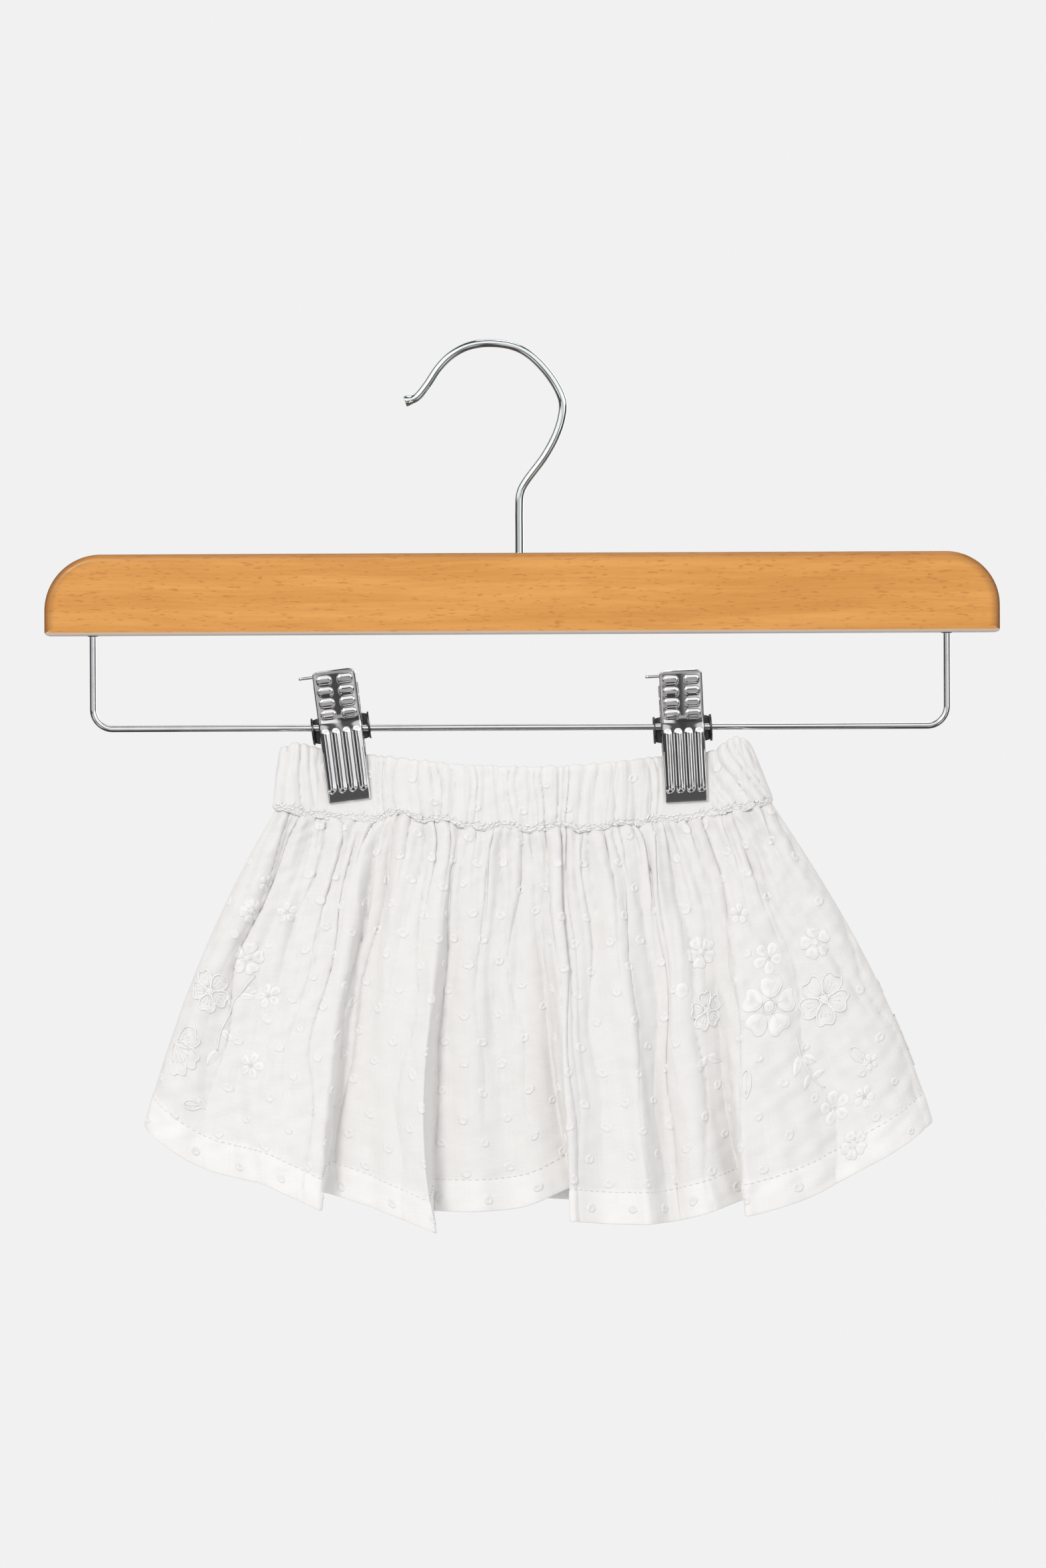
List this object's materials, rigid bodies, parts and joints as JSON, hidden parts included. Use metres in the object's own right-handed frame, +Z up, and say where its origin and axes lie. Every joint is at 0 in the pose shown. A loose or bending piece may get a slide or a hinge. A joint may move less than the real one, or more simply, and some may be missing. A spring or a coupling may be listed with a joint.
{
  "type": "child's embroidered skirt on a clip hanger",
  "caption": "Gathered white voile skirt with an elastic casing waist and floral embroidery, held open by pressed steel clips on a wooden clip hanger.",
  "frame": {"origin": "the underside of the hook's crown, where it rests on a rail or peg", "axes": "+X along the hanger's bar to the right as seen from the front, +Y to the back, +Z up"},
  "size_m": [0.3551, 0.0579, 0.3279],
  "materials": {
    "voile": "matte sheer cotton",
    "lacquered_wood": "clear gloss lacquer",
    "hook_chrome": "bright",
    "rod_chrome": "bright",
    "clip_steel": "nickel plated"
  },
  "bodies": {
    "root": {"skirt_front": "voile", "skirt_back": "voile", "waistband_front": "voile", "waistband_back": "voile", "hanger_bar": "lacquered_wood", "hanger_hook": "hook_chrome", "clip_rod": "rod_chrome", "clip_left_front": "clip_steel", "clip_left_back": "clip_steel", "clip_left_spring": "rod_chrome", "clip_right_front": "clip_steel", "clip_right_back": "clip_steel", "clip_right_spring": "rod_chrome"}
  },
  "joints": []
}
